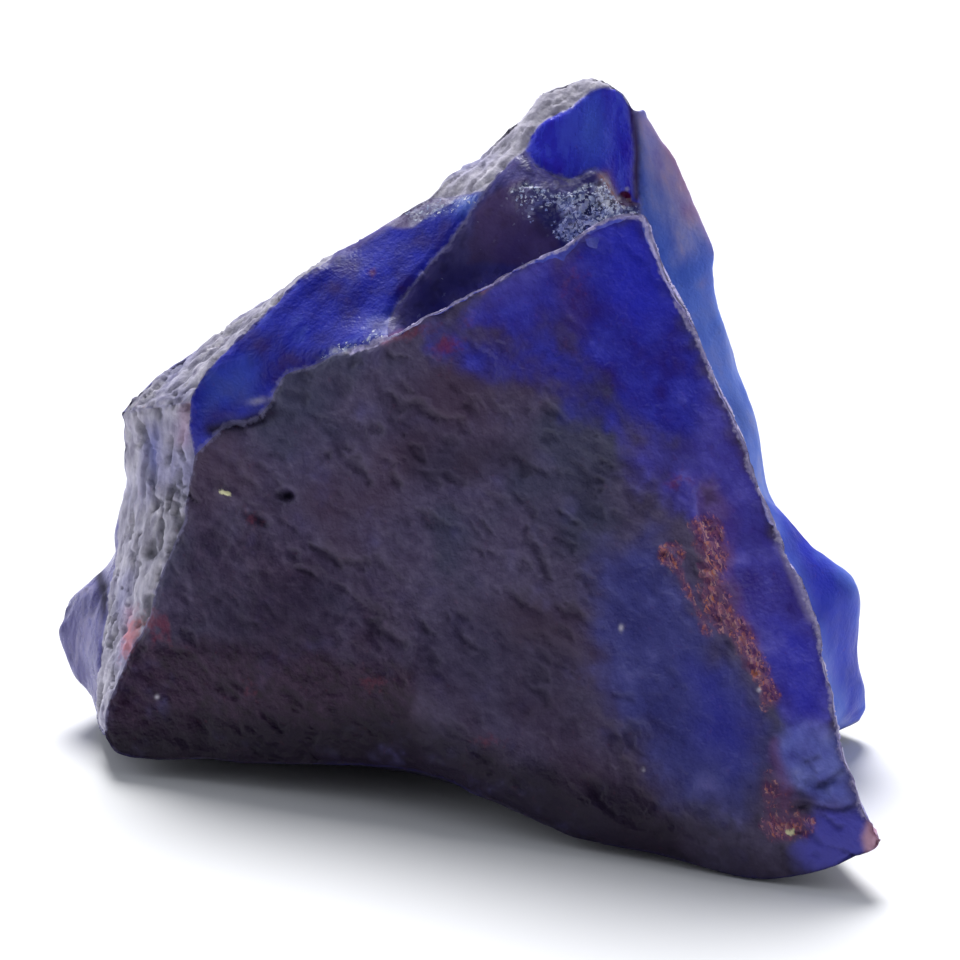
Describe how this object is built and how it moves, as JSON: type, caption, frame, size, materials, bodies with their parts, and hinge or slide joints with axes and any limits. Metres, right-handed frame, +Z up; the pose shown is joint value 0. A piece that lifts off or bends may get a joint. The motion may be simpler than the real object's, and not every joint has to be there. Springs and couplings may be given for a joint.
{
  "type": "rough sapphire specimen",
  "caption": "Free-standing broken lump of uncut blue corundum: broad frosted face, thin standing fin with a cleft behind it, pale rind on two sides, flat facet to rest on.",
  "frame": {"origin": "middle of the bounding box at its lowest level, which is the plane of the flat resting facet", "axes": "+Z up; the broad broken face looks along -Y and a little to -X; +X is to the right of that face, along the widest extent"},
  "size_m": [0.046, 0.0308, 0.037],
  "materials": {
    "sapphire": "frosted, broken surface; translucent blue where thin, slate grey to purple-brown where thick, pale grey rind on the left and upper left"
  },
  "bodies": {
    "root": {"rough_sapphire": "sapphire"}
  },
  "joints": []
}
